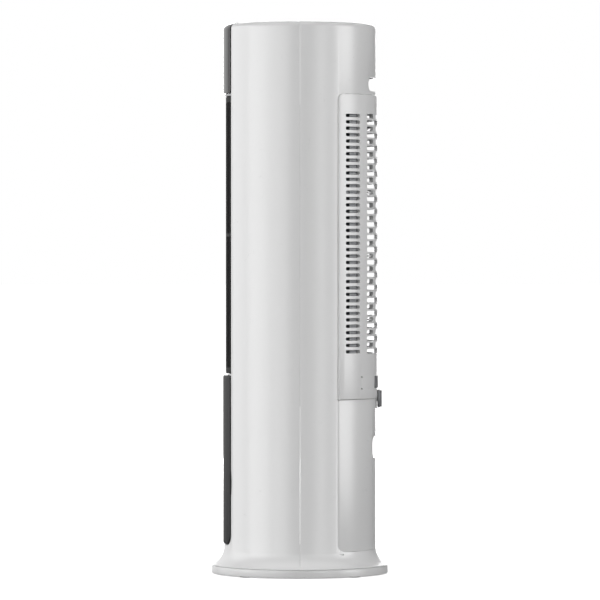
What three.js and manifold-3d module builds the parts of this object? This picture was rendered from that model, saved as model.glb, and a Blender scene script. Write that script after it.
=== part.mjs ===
// Tower-shaped ceramic space heater on an oscillating round base.
// Millimetres, +Z up, floor at z = 0. The air outlet faces -Y, the intake and the inlet face +Y.
import * as THREE from 'three';
import { mergeVertices } from 'three/addons/utils/BufferGeometryUtils.js';
import Module from 'manifold-3d';

const wasm = await Module();
wasm.setup();

// Tower shell
const HEIGHT = 600;
const BODY_R = 83;
const BODY_INNER_R = 80;
const TOP_ROUND = 5.5;
const FLARE_TOP_Z = 27;
const SKIRT_R = 96;
const SKIRT_Z = 9.9;
const HALF_GAP = 0.15;

// Front strip: display panel, outlet grille and lower panel
const STRIP_HALF_WIDTH = 35.6;
const STRIP_BOTTOM_Z = 33;
const LOWER_PANEL_TOP_Z = 217;
const GRILLE_BOTTOM_Z = 219.3;
const GRILLE_TOP_Z = 520.9;
const DISPLAY_BOTTOM_Z = 524;
const DISPLAY_TONGUE_Y = -36;

// Rear covers and handle
const COVER_HALF_ANGLE = 59.7;
const COVER_BOTTOM_Z = 192;
const COVER_TOP_Z = 525;
const SLOT_ROWS = 38;
const SLOT_TOP_Z = 498.8;
const SLOT_PITCH = 6.892;
const SLOT_HEIGHT = 3.7;
const REAR_HOLE_HEIGHT = 5;
const LATCH_Z = 191.5;
const HANDLE_BOTTOM_Z = 526;
const HANDLE_TOP_Z = 541;
const HANDLE_HALF_WIDTH = 37;
const INLET_Z = 139;

// Oscillating base
const BASE_R = 96.5;
const BASE_TOP_Z = 9.4;
const POST_R = 20;
const SUN_TEETH = 48;
const PINION_TEETH = 12;
const GEAR_MODULE = 1.5;
const GEAR_DISTANCE = GEAR_MODULE * (SUN_TEETH + PINION_TEETH) / 2;

// Fan and heating element
const FAN_Y = 8;
const FAN_R = 33;
const FAN_BOTTOM_Z = 238;
const FAN_TOP_Z = 500;
const BLADES = 14;

const DEG = Math.PI / 180;
const heater = new THREE.Group();
heater.name = 'space_heater';

function paint(color, roughness, metalness = 0) {
  return new THREE.MeshStandardMaterial({ color, roughness, metalness });
}

function solidOf(geometry) {
  const bare = geometry.clone();
  bare.deleteAttribute('normal');
  bare.deleteAttribute('uv');
  const welded = mergeVertices(bare, 1e-4);
  const points = welded.attributes.position;
  const index = Array.from(welded.index.array);
  const triangles = [];
  let volume = 0;
  const a = new THREE.Vector3();
  const b = new THREE.Vector3();
  const c = new THREE.Vector3();
  for (let i = 0; i < index.length; i += 3) {
    const [p, q, r] = [index[i], index[i + 1], index[i + 2]];
    if (p === q || q === r || r === p) continue;
    a.fromBufferAttribute(points, p);
    b.fromBufferAttribute(points, q);
    c.fromBufferAttribute(points, r);
    volume += a.dot(b.cross(c));
    triangles.push(p, q, r);
  }
  if (volume < 0) triangles.reverse();
  return new wasm.Manifold(new wasm.Mesh({
    numProp: 3,
    vertProperties: new Float32Array(points.array),
    triVerts: new Uint32Array(triangles),
  }));
}

function geometryOf(solid) {
  const mesh = solid.getMesh();
  const geometry = new THREE.BufferGeometry();
  geometry.setAttribute('position', new THREE.BufferAttribute(new Float32Array(mesh.vertProperties), 3));
  geometry.setIndex(new THREE.BufferAttribute(new Uint32Array(mesh.triVerts), 1));
  geometry.computeVertexNormals();
  return geometry;
}

function place(name, solid, material, x = 0, y = 0, z = 0) {
  const mesh = new THREE.Mesh(geometryOf(solid), material);
  mesh.name = name;
  mesh.position.set(x, y, z);
  heater.add(mesh);
  return mesh;
}

// A point at a radius and a bearing: 0 is the rear (+Y), 90 is +X, 180 is the front.
function bearing(radius, degrees) {
  return new THREE.Vector2(radius * Math.sin(degrees * DEG), radius * Math.cos(degrees * DEG));
}

// A closed profile of [radius, z] points turned about the Z axis.
function turned(profile, segments = 48) {
  const points = profile.map(([radius, z]) => new THREE.Vector2(radius, z));
  const closed = profile[0][0] === 0 ? points : [...points, points[0].clone()];
  const geometry = new THREE.LatheGeometry(closed, segments);
  geometry.rotateX(Math.PI / 2);
  return solidOf(geometry);
}

// A flat outline in plan, raised from one height to another.
function raised(points, z0, z1, holes = []) {
  const shape = new THREE.Shape(points);
  for (const hole of holes) shape.holes.push(new THREE.Path(hole));
  const geometry = new THREE.ExtrudeGeometry(shape, { depth: z1 - z0, bevelEnabled: false });
  geometry.translate(0, 0, z0);
  return solidOf(geometry);
}

// A flat outline in the X-Z plane, thickened from y0 to y1.
function facing(points, y0, y1) {
  const shape = new THREE.Shape(points);
  const geometry = new THREE.ExtrudeGeometry(shape, { depth: y1 - y0, bevelEnabled: false });
  geometry.rotateX(Math.PI / 2);
  geometry.translate(0, y1, 0);
  return solidOf(geometry);
}

// A piece of cylinder wall between two bearings and two heights.
function wall(inner, outer, from, to, z0, z1, step = 3.75) {
  const count = Math.max(1, Math.ceil((to - from) / step - 1e-6));
  const points = [];
  for (let i = 0; i <= count; i += 1) points.push(bearing(outer, from + (to - from) * i / count));
  for (let i = count; i >= 0; i -= 1) points.push(bearing(inner, from + (to - from) * i / count));
  return raised(points, z0, z1);
}

function box(x0, x1, y0, y1, z0, z1) {
  const geometry = new THREE.BoxGeometry(x1 - x0, y1 - y0, z1 - z0);
  geometry.translate((x0 + x1) / 2, (y0 + y1) / 2, (z0 + z1) / 2);
  return solidOf(geometry);
}

// An upright cylinder, and one that lies along Y.
function post(radius, z0, z1, x = 0, y = 0, segments = 32) {
  const geometry = new THREE.CylinderGeometry(radius, radius, z1 - z0, segments);
  geometry.rotateX(Math.PI / 2);
  geometry.translate(x, y, (z0 + z1) / 2);
  return solidOf(geometry);
}

function peg(radius, y0, y1, x, z, segments = 24) {
  const geometry = new THREE.CylinderGeometry(radius, radius, y1 - y0, segments);
  geometry.translate(x, (y0 + y1) / 2, z);
  return solidOf(geometry);
}

// A rectangle with rounded corners; radii run bottom-left, bottom-right, top-right, top-left.
function roundedRectangle(x0, z0, x1, z1, radii, steps = 5) {
  const corners = [
    [x0 + radii[0], z0 + radii[0], radii[0], 180],
    [x1 - radii[1], z0 + radii[1], radii[1], 270],
    [x1 - radii[2], z1 - radii[2], radii[2], 0],
    [x0 + radii[3], z1 - radii[3], radii[3], 90],
  ];
  const points = [];
  for (const [x, z, radius, start] of corners) {
    const count = radius > 0 ? steps : 0;
    for (let i = 0; i <= count; i += 1) {
      const angle = (start + (count ? 90 * i / count : 0)) * DEG;
      points.push(new THREE.Vector2(x + radius * Math.cos(angle), z + radius * Math.sin(angle)));
    }
  }
  return points;
}

// A thin wall of constant thickness that follows a line in plan.
function ribbon(line, thickness) {
  const left = [];
  const right = [];
  for (let i = 0; i < line.length; i += 1) {
    const before = line[Math.max(0, i - 1)];
    const after = line[Math.min(line.length - 1, i + 1)];
    const along = new THREE.Vector2().subVectors(after, before).normalize();
    const across = new THREE.Vector2(-along.y, along.x).multiplyScalar(thickness / 2);
    left.push(line[i].clone().add(across));
    right.unshift(line[i].clone().sub(across));
  }
  return [...left, ...right];
}

function arc(radius, from, to, steps) {
  const points = [];
  for (let i = 0; i <= steps; i += 1) points.push(bearing(radius, from + (to - from) * i / steps));
  return points;
}

function joined(first, ...others) {
  return others.reduce((sum, solid) => sum.add(solid), first);
}

function cut(first, ...others) {
  return others.reduce((rest, solid) => rest.subtract(solid), first);
}

// ---- Base: the piece that stands still on the floor ----

const black = paint(0x1b1b1d, 0.5);
const white = paint(0xeceded, 0.42);

const baseDisc = turned([
  [10, 6.9], [93.6, 6.9], [93.6, 1.2], [BASE_R, 1.2], [BASE_R, 8], [95, BASE_TOP_Z],
  [POST_R, BASE_TOP_Z], [POST_R, 27], [10, 27],
]);
const capScrewHoles = [90, 210, 330].map((angle) => bearing(15, angle));
const screwedBase = cut(baseDisc, ...capScrewHoles.map((p) => post(1.7, 15, 28, p.x, p.y, 16)));
place('base_disc', screwedBase, white);

place('base_weight', turned([[24, 4.0], [90, 4.0], [90, 6.5], [24, 6.5]], 48), paint(0x6d6f72, 0.6, 0.8));

const footSpots = [45, 135, 225, 315].map((angle) => bearing(80, angle));
let baseCover = turned([[0, 1.2], [93.2, 1.2], [93.2, 3.6], [0, 3.6]]);
baseCover = cut(baseCover, ...footSpots.map((p) => post(9.4, 1, 2.4, p.x, p.y)));
place('base_cover', baseCover, paint(0x2a2a2c, 0.6));

footSpots.forEach((p, i) => {
  const foot = turned([[0, 0], [8.4, 0], [9, 0.6], [9, 2.1], [0, 2.1]], 20);
  place(`foot_${i + 1}`, foot, paint(0x222222, 0.9), p.x, p.y, 0);
});

place('slip_ring', turned([[54, 9.7], [64, 9.7], [64, 12.7], [54, 12.7]], 48), paint(0xe6e2d6, 0.35));

// Straight-sided gear teeth, narrowed a little so that the pair runs with backlash.
function gear(teeth, z0, z1, bore, toothOnX) {
  const pitchR = GEAR_MODULE * teeth / 2;
  const tipR = pitchR + 1.2;
  const rootR = pitchR - 1.75;
  const pitch = 360 / teeth;
  const offset = toothOnX ? 0 : pitch / 2;
  const rootHalf = 0.31 * pitch;
  const tipHalf = 0.10 * pitch;
  const points = [];
  for (let i = 0; i < teeth; i += 1) {
    const middle = offset + i * pitch;
    points.push(bearing(rootR, middle - rootHalf));
    points.push(bearing(tipR, middle - tipHalf));
    points.push(bearing(tipR, middle + tipHalf));
    points.push(bearing(rootR, middle + rootHalf));
  }
  return cut(raised(points, z0, z1), post(bore, z0 - 1, z1 + 1, 0, 0, 24));
}

const sunGear = joined(gear(SUN_TEETH, 19.2, 27, 20.4, true), cut(post(28, 16.6, 19.4), post(20.4, 16, 20)));
place('sun_gear', sunGear, paint(0xd9d4c4, 0.4));

let gearCap = post(25.5, 27.3, 29.7, 0, 0, 40);
gearCap = cut(gearCap, ...capScrewHoles.map((p) => post(1.9, 27, 30, p.x, p.y, 16)));
place('gear_cap', gearCap, paint(0x9a9c9f, 0.4, 0.9));

const steel = paint(0xb4b6b9, 0.3, 0.9);

function screw(headR, headH, shankR, shankL) {
  const body = turned([
    [0, -shankL], [shankR, -shankL], [shankR, 0], [headR, 0], [headR, headH], [0, headH],
  ], 12);
  return cut(body, box(-headR * 0.7, headR * 0.7, -0.35, 0.35, headH * 0.4, headH + 1));
}

capScrewHoles.forEach((p, i) => {
  place(`cap_screw_${i + 1}`, screw(3.2, 2, 1.4, 12), steel, p.x, p.y, 30);
});

// ---- Tower: everything that swings on the base ----

let towerFloor = turned([
  [20.7, 13.0], [79.2, 13.0], [79.2, 25.5], [76.6, 25.5], [76.6, 16.2], [20.7, 16.2],
]);
for (const x of [-31, 31]) {
  towerFloor = joined(towerFloor, post(4, 15, 29.7, x, GEAR_DISTANCE, 20));
}
place('tower_floor', towerFloor, paint(0x3a3b3d, 0.6));

// The skin of the tower with its flared foot and rounded top, before it is split and cut.
const flare = new THREE.QuadraticBezierCurve(
  new THREE.Vector2(SKIRT_R, SKIRT_Z + 0.6), new THREE.Vector2(86, 15), new THREE.Vector2(BODY_R, FLARE_TOP_Z),
);
const outline = [[SKIRT_R - 0.6, SKIRT_Z]];
for (const point of flare.getPoints(5)) outline.push([point.x, point.y]);
const TOP_Z = HEIGHT - 0.4;
for (let i = 0; i <= 3; i += 1) {
  const angle = 90 * i / 3 * DEG;
  outline.push([
    BODY_R - TOP_ROUND + TOP_ROUND * Math.cos(angle), TOP_Z - TOP_ROUND + TOP_ROUND * Math.sin(angle),
  ]);
}
outline.push([77.2, TOP_Z], [77.2, 596.8], [74.4, 596.8], [74.4, 594.4], [BODY_INNER_R, 594.4]);
outline.push([BODY_INNER_R, 25], [84, 16], [91.5, 12], [91.5, SKIRT_Z]);
const skin = turned(outline);
const frontBlock = box(-110, 110, -110, -HALF_GAP, 0, 610);
const rearBlock = box(-110, 110, HALF_GAP, 110, 0, 610);

// Front half: the strip is sunk into it, with a window for the warm air.
const stripCut = facing(
  roundedRectangle(-STRIP_HALF_WIDTH - 0.3, STRIP_BOTTOM_Z - 0.4, STRIP_HALF_WIDTH + 0.3, 620, [11, 11, 0, 0]),
  -110, -40,
);
const backing = joined(
  wall(75, 78, 150, 210, 26, 594.2),
  wall(75, 80.6, 150, 153.75, 26, 594.6),
  wall(75, 80.6, 206.25, 210, 26, 594.6),
);
const grilleWindow = box(-31, 31, -110, -40, 228, 512);
const displayWindow = box(-24, 24, -110, -40, 536, 584);
let frontShell = cut(skin.intersect(frontBlock), stripCut);
frontShell = joined(frontShell, cut(backing, cut(stripCut, post(78.15, 0, 620, 0, 0, 96))));
frontShell = cut(frontShell, box(-STRIP_HALF_WIDTH - 0.3, STRIP_HALF_WIDTH + 0.3, -110, -30, 596.5, 610));
frontShell = cut(frontShell, grilleWindow, displayWindow);
place('front_shell', frontShell, white);

// Rear half: one tall opening for the two rear covers, and a hole for the handle above it.
const coverHole = wall(70, 100, -60, 60, FLARE_TOP_Z + 0.4, COVER_TOP_Z + 0.4);
const handleHole = facing(
  roundedRectangle(-HANDLE_HALF_WIDTH, HANDLE_BOTTOM_Z, HANDLE_HALF_WIDTH, HANDLE_TOP_Z, [3, 3, 3, 3], 3),
  60, 100,
);
let rearShell = cut(skin.intersect(rearBlock), coverHole, handleHole);
rearShell = cut(rearShell, peg(1.9, 70, 100, 0, 588, 16), peg(3.6, 81, 100, 0, 588, 24));
place('rear_shell', rearShell, white);

place('top_screw', screw(3, 1.2, 1.5, 10), steel, 0, 81.3, 588).rotation.x = -Math.PI / 2;

// Lid in the top rim, cut back where the display panel folds over the top.
const lid = turned([[0, 597.1], [76.9, 597.1], [76.9, TOP_Z], [0, TOP_Z]]);
place('top_cap', cut(lid, box(-STRIP_HALF_WIDTH - 0.3, STRIP_HALF_WIDTH + 0.3, -100, DISPLAY_TONGUE_Y + 0.3,
  590, 610)), white);

// Display panel: a curved front face that folds over the top edge as a flat tongue.
const displayOutline = [[0, 597.1], [77.3, 597.1], [80.1, 594.2], [80.1, DISPLAY_BOTTOM_Z]];
displayOutline.push([BODY_R, DISPLAY_BOTTOM_Z]);
for (let i = 0; i <= 4; i += 1) {
  const angle = 90 * i / 4 * DEG;
  displayOutline.push([
    BODY_R - TOP_ROUND + TOP_ROUND * Math.cos(angle), HEIGHT - TOP_ROUND + TOP_ROUND * Math.sin(angle),
  ]);
}
displayOutline.push([0, HEIGHT]);
const tongue = raised(
  roundedRectangle(-STRIP_HALF_WIDTH, -100, STRIP_HALF_WIDTH, DISPLAY_TONGUE_Y, [0, 0, 0, 0]), 500, 610,
);
place('display_panel', turned(displayOutline).intersect(tongue), paint(0x0b0b0d, 0.08));
place('display_board', box(-26, 26, -69.5, -67.9, 532, 588), paint(0x1f5b3a, 0.5));
place('display_trim', wall(78.3, 82, 154.5, 205.5, 521.2, 523.7), paint(0xb9bbbd, 0.35, 0.3));

// Outlet grille: upright bars, tied by a few cross rails.
const OUTLET_COLUMNS = 11;
const OUTLET_PITCH = 4.06;
const railHeights = [GRILLE_BOTTOM_Z + 6, 370, GRILLE_TOP_Z - 6];
let grille = wall(78.3, 81, 154.6, 205.4, GRILLE_BOTTOM_Z, GRILLE_TOP_Z);
for (let column = 0; column < OUTLET_COLUMNS; column += 1) {
  const middle = 180 + (column - (OUTLET_COLUMNS - 1) / 2) * OUTLET_PITCH;
  for (let row = 0; row < railHeights.length - 1; row += 1) {
    const z0 = railHeights[row] + (row === 0 ? 0 : 1.5);
    const z1 = railHeights[row + 1] - (row === railHeights.length - 2 ? 0 : 1.5);
    grille = grille.subtract(wall(70, 90, middle - 1.4, middle + 1.4, z0, z1));
  }
}
place('outlet_grille', grille, black);

const lowerOutline = facing(
  roundedRectangle(-STRIP_HALF_WIDTH, STRIP_BOTTOM_Z, STRIP_HALF_WIDTH, LOWER_PANEL_TOP_Z, [11, 11, 2, 2]),
  -110, -40,
);
place('lower_front_panel', wall(78.4, 84, 150, 210, 30, 220).intersect(lowerOutline), paint(0x2c2c2e, 0.45));

// Intake frame: the fixed liner behind the filter cover, open for the filter and at both sides.
let intakeFrame = wall(76.8, 79.6, -63.75, 63.75, 196, 545);
intakeFrame = cut(intakeFrame, box(-37.8, 37.8, 40, 100, 236, 508));
intakeFrame = cut(intakeFrame, box(-17, 17, 40, 100, 190, 209));
intakeFrame = cut(intakeFrame, box(-41.5, 41.5, 40, 100, 520, 560));
for (const side of [-1, 1]) {
  for (let row = 0; row < 3; row += 1) {
    const from = side > 0 ? 37.5 : -54.4;
    const z0 = 240 + row * 89;
    intakeFrame = intakeFrame.subtract(wall(70, 90, from, from + 16.9, z0, z0 + 84, 9));
  }
}
place('intake_frame', intakeFrame, paint(0x8f9193, 0.6));

// Handle cup: a closed pocket behind the finger hole.
let handleCup = box(-39, 39, 54, 68.8, 523, 544);
handleCup = cut(handleCup, box(-37, 37, 56, 90, 525.5, 541.5));
place('handle_cup', handleCup, paint(0xdcdddd, 0.45));

// Lower rear cover with the dish for the appliance inlet and a notch for the latch.
const lowerCoverOutline = facing(
  roundedRectangle(-72.1, FLARE_TOP_Z + 0.8, 72.1, COVER_BOTTOM_Z - 0.3, [0, 0, 6, 6]), 20, 110,
);
const dish = roundedRectangle(-26, INLET_Z - 12, 26, INLET_Z + 12, [4, 4, 4, 4], 4);
let lowerCover = wall(BODY_INNER_R + 0.3, BODY_R, -COVER_HALF_ANGLE, COVER_HALF_ANGLE, 20, 200);
lowerCover = lowerCover.intersect(lowerCoverOutline);
lowerCover = cut(lowerCover, facing(dish, 50, 110), peg(11, 60, 110, 0, LATCH_Z, 40));
place('lower_rear_cover', lowerCover, white);

const flange = roundedRectangle(-25.6, INLET_Z - 11.6, 25.6, INLET_Z + 11.6, [3.7, 3.7, 3.7, 3.7], 4);
const socket = roundedRectangle(-12.5, INLET_Z - 8, 12.5, INLET_Z + 8, [1, 1, 5, 5], 3);
let inlet = joined(facing(flange, 72.5, 75.5), box(-14.5, 14.5, 50, 73, INLET_Z - 10, INLET_Z + 10));
inlet = cut(inlet, facing(socket, 56, 80));
for (const side of [-1, 1]) inlet = cut(inlet, peg(1.9, 70, 80, side * 20, INLET_Z, 16));
for (const x of [-7, 0, 7]) inlet = cut(inlet, box(x - 1.3, x + 1.3, 48, 60, INLET_Z - 2.3, INLET_Z + 2.3));
place('inlet_socket', inlet, paint(0x1c1c1e, 0.55));

[-7, 0, 7].forEach((x, i) => {
  place(`inlet_pin_${i + 1}`, box(-1, 1, 44, 71, -2, 2), steel, x, 0, INLET_Z);
});
[-20, 20].forEach((x, i) => {
  const inletScrew = place(`inlet_screw_${i + 1}`, screw(2.8, 1.4, 1.5, 8), steel, x, 75.8, INLET_Z);
  inletScrew.rotation.x = -Math.PI / 2;
});

// ---- Filter cover: a curved grille that pulls off to the rear with the filter behind it ----

const RIB_ROWS = [3, 13, 23, 33];
const slotEdges = [4.2, 13, 20.6, 30.8, 39.1, 46.25, 53.4, COVER_HALF_ANGLE];
const coverBearings = [...slotEdges.map((angle) => -angle).reverse(), ...slotEdges];
let filterCover = raised([
  ...coverBearings.map((angle) => bearing(84.5, angle)),
  ...coverBearings.map((angle) => bearing(81.2, angle)).reverse(),
], 150, COVER_TOP_Z);
const coverOutline = facing(
  roundedRectangle(-73.3, COVER_BOTTOM_Z, 73.3, COVER_TOP_Z, [4, 4, 5, 5]), 20, 110,
).add(peg(10.6, 20, 110, 0, LATCH_Z, 40));
filterCover = filterCover.intersect(coverOutline);
for (let row = 0; row < SLOT_ROWS; row += 1) {
  const z = SLOT_TOP_Z - row * SLOT_PITCH;
  const rearHoles = row % 2 === 0 ? [[-30.8, -20.6], [-13, 13], [20.6, 30.8]] : [[-30.8, -4.2], [4.2, 30.8]];
  for (const [from, to] of [[-53.4, -39.1], ...rearHoles, [39.1, 53.4]]) {
    const height = Math.abs(from) > 35 ? SLOT_HEIGHT : Math.abs(to) > 35 ? SLOT_HEIGHT : REAR_HOLE_HEIGHT;
    filterCover = filterCover.subtract(wall(74, 92, from, to, z - height / 2, z + height / 2, 15));
  }
}
for (const row of RIB_ROWS) {
  const z = SLOT_TOP_Z - (row - 1) * SLOT_PITCH;
  const rib = raised([...arc(82, -26, 26, 4), new THREE.Vector2(34, 71.4), new THREE.Vector2(-34, 71.4)],
    z - 0.8, z + 0.8);
  filterCover = filterCover.add(rib);
}
filterCover = cut(filterCover, peg(3.5, 60, 110, 0, LATCH_Z, 24));
place('filter_cover', filterCover, white);

// Grey finger plate on the foot of the filter cover.
const plateShape = facing(roundedRectangle(-28.5, 203.2, 28.5, 216.4, [1.5, 1.5, 1.5, 1.5], 2), 20, 110);
place('finger_plate', wall(84.8, 86.2, -26.25, 26.25, 200, 220).intersect(plateShape), paint(0x9d9fa1, 0.45));

let filterFrame = box(-37, 37, 64.8, 71, 239, 505);
filterFrame = cut(filterFrame, box(-32, 32, 60, 80, 244, 500));
for (const z of [330, 414]) filterFrame = filterFrame.add(box(-33, 33, 64.8, 66.6, z - 1, z + 1));
filterFrame = cut(filterFrame, box(-34.6, 34.6, 67.0, 69.0, 241.4, 502.6));
place('filter_frame', filterFrame, paint(0x3d3e40, 0.6));
place('filter_mesh', box(-34.3, 34.3, 67.3, 68.7, 241.7, 502.3), paint(0x4c4e50, 0.8));

// Quarter-turn latch: a round knob outside, a cam inside that turns behind the lower cover.
const cam = facing([
  new THREE.Vector2(-2, -3), new THREE.Vector2(15, -3), new THREE.Vector2(15, 3), new THREE.Vector2(-2, 3),
], 75.8, 78.2);
const turnedCam = cam.rotate([0, -45, 0]);
let knob = joined(
  peg(9.5, 85.0, 87.6, 0, 0, 40),
  box(-2.6, 2.6, 87, 89.4, -9.1, 9.1),
  peg(3.1, 75.8, 85.2, 0, 0, 24),
  turnedCam,
);
place('latch_knob', knob, paint(0x6f7173, 0.5), 0, 0, LATCH_Z);

// ---- Fan and air duct ----

let fanWheel = joined(
  post(FAN_R + 0.4, FAN_BOTTOM_Z, FAN_BOTTOM_Z + 2.4, 0, 0, 32),
  post(8, FAN_BOTTOM_Z - 2, FAN_BOTTOM_Z + 14, 0, 0, 24),
  post(FAN_R + 0.4, FAN_TOP_Z - 2.4, FAN_TOP_Z, 0, 0, 32),
  post(7, FAN_TOP_Z - 12, FAN_TOP_Z + 1, 0, 0, 24),
);
fanWheel = fanWheel.add(cut(post(FAN_R + 0.4, 368, 370, 0, 0, 32), post(25, 367, 371, 0, 0, 32)));
for (let i = 0; i < BLADES; i += 1) {
  const turn = 360 * i / BLADES;
  const line = [bearing(25.4, turn), bearing(33, turn + 10)];
  fanWheel = fanWheel.add(raised(ribbon(line, 1.3), FAN_BOTTOM_Z + 1, FAN_TOP_Z - 1));
}
fanWheel = cut(fanWheel, post(3.4, FAN_BOTTOM_Z - 3, FAN_BOTTOM_Z + 13, 0, 0, 24));
fanWheel = cut(fanWheel, post(3.4, FAN_TOP_Z - 10, FAN_TOP_Z + 3, 0, 0, 24));
place('fan_wheel', fanWheel, paint(0x2e2f31, 0.5), 0, FAN_Y, 0);
place('fan_shaft', post(3.1, 200, FAN_BOTTOM_Z + 12, 0, 0, 24), steel, 0, FAN_Y, 0);
place('fan_stub', post(3.1, FAN_TOP_Z - 9, 511, 0, 0, 24), steel, 0, FAN_Y, 0);

let fanMotor = turned([
  [0, 184], [28, 184], [28, 224], [11, 224], [11, 227], [3.5, 227], [3.5, 196], [0, 196],
], 40);
place('fan_motor', fanMotor, paint(0x55585b, 0.45, 0.6), 0, FAN_Y, 0);
place('top_bearing', turned([[3.3, 504.4], [9, 504.4], [9, 510.4], [3.3, 510.4]], 24), paint(0x8b6a3c, 0.5), 0,
  FAN_Y, 0);

const leftWall = ribbon([
  new THREE.Vector2(-44, 60), new THREE.Vector2(-43, 40),
  ...arc(42, -60, -112, 8).map((p) => p.add(new THREE.Vector2(0, FAN_Y))),
  new THREE.Vector2(-33, -30), new THREE.Vector2(-33.5, -44),
], 2);
const rightWall = ribbon([
  new THREE.Vector2(44, 60), new THREE.Vector2(42, 42),
  ...arc(36.5, 62, 104, 7).map((p) => p.add(new THREE.Vector2(0, FAN_Y))),
  new THREE.Vector2(34, -20), new THREE.Vector2(33.5, -44),
], 2);
const ductPlate = [
  new THREE.Vector2(-46, 60), new THREE.Vector2(-46, -12), new THREE.Vector2(-35, -44),
  new THREE.Vector2(35, -44), new THREE.Vector2(46, -12), new THREE.Vector2(46, 60),
];
let airDuct = joined(
  raised(leftWall, 228, 512), raised(rightWall, 228, 512),
  raised(ductPlate, 228, 231.4), raised(ductPlate, 507, 509.8),
);
airDuct = cut(airDuct, post(11.6, 225, 235, 0, FAN_Y, 32), post(9.4, 500, 515, 0, FAN_Y, 32));
place('air_duct', airDuct, paint(0xc7c8c6, 0.6));

// Heating element: a heat-proof frame that holds two finned ceramic columns.
let heaterFrame = box(-34, 34, -62, -45, 230, 510);
heaterFrame = cut(heaterFrame, box(-29, 29, -70, -40, 238, 502));
heaterFrame = cut(heaterFrame, box(-30.5, 30.5, -60, -47, 236, 504));
place('heater_frame', heaterFrame, paint(0xd8d2c0, 0.7));

const FINS = 24;
let column = box(-3, 3, -59.2, -47.8, 236.4, 503.6);
for (let i = 0; i < FINS; i += 1) {
  const z = 242 + i * 11.13;
  column = column.add(box(-14.2, 14.2, -58.4, -48.6, z - 0.5, z + 0.5));
}
place('ceramic_core_1', column, paint(0xb9bcc0, 0.4, 0.8), -14.8, 0, 0);
place('ceramic_core_2', column, paint(0xb9bcc0, 0.4, 0.8), 14.8, 0, 0);
place('thermal_cutout', turned([[0, 510.3], [8, 510.3], [8, 515], [5, 517], [0, 517]], 20), paint(0xa8aaad, 0.4, 0.8),
  0, -53, 0);

// ---- Electrics in the foot of the tower ----

place('power_board', box(-50, 50, -30, -28.4, 62, 168), paint(0x2a6a45, 0.5));
place('power_relay_1', box(-40, -18, -28.1, -12, 120, 150), paint(0x1d3f73, 0.4));
place('power_relay_2', box(-10, 12, -28.1, -12, 120, 150), paint(0x1d3f73, 0.4));
place('mains_filter', box(20, 44, -28.1, -6, 74, 104), paint(0xc9a23a, 0.5));
place('tip_switch', box(-52, -34, -34, -18, 16.6, 36), paint(0x202124, 0.5));

let swingMotor = joined(post(25, 32, 51, 0, 0, 36), box(-35, 35, -5, 5, 30, 32.4));
swingMotor = joined(swingMotor, post(25, 30, 32.4, 0, 0, 36));
swingMotor = cut(swingMotor, post(3.4, 28, 42, 0, 0, 24));
place('swing_motor', swingMotor, paint(0xa5a8ab, 0.4, 0.8), 0, GEAR_DISTANCE, 0);

const pinion = joined(gear(PINION_TEETH, 19.2, 27, 1.5, false), post(3.1, 20, 40, 0, 0, 24));
place('drive_pinion', pinion, paint(0xe8e4d8, 0.4), 0, GEAR_DISTANCE, 0);

export default heater;
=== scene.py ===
from math import asin, cos, pi, radians, sin

import bpy
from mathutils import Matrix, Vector


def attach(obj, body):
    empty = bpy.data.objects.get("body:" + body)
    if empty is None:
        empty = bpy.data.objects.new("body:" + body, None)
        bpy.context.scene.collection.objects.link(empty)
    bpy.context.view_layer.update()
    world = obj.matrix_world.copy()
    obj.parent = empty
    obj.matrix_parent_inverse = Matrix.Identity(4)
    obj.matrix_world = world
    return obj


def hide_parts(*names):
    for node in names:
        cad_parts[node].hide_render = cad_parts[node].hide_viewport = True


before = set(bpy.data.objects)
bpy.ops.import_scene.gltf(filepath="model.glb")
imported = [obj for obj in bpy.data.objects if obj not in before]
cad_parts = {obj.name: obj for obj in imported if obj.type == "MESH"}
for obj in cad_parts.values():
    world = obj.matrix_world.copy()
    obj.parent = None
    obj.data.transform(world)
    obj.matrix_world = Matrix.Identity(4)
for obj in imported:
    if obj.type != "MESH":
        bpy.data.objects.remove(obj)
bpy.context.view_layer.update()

# ---------------------------------------------------------------------------
# Half shells. The tower's skin is two injection-moulded ABS half shells that
# meet in a hairline down each side, flare out at the foot and round over at
# the top into a rim for the lid. The front one is open for the strip of
# panels, the rear one for the covers, the finger hole and a screw.
# ---------------------------------------------------------------------------


def srgb(code):
    channels = [int(code[i:i + 2], 16) / 255 for i in (1, 3, 5)]
    linear = [c / 12.92 if c <= 0.04045 else ((c + 0.055) / 1.055) ** 2.4 for c in channels]
    return (*linear, 1.0)


def add_node(material, kind, links=None, **settings):
    """Adds one shader node; links maps each input to a value or to another node's output."""
    made = material.node_tree.nodes.new(kind)
    for name, value in settings.items():
        setattr(made, name, value)
    for name, value in (links or {}).items():
        if isinstance(value, bpy.types.NodeSocket):
            material.node_tree.links.new(value, made.inputs[name])
        else:
            made.inputs[name].default_value = value
    return made


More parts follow.
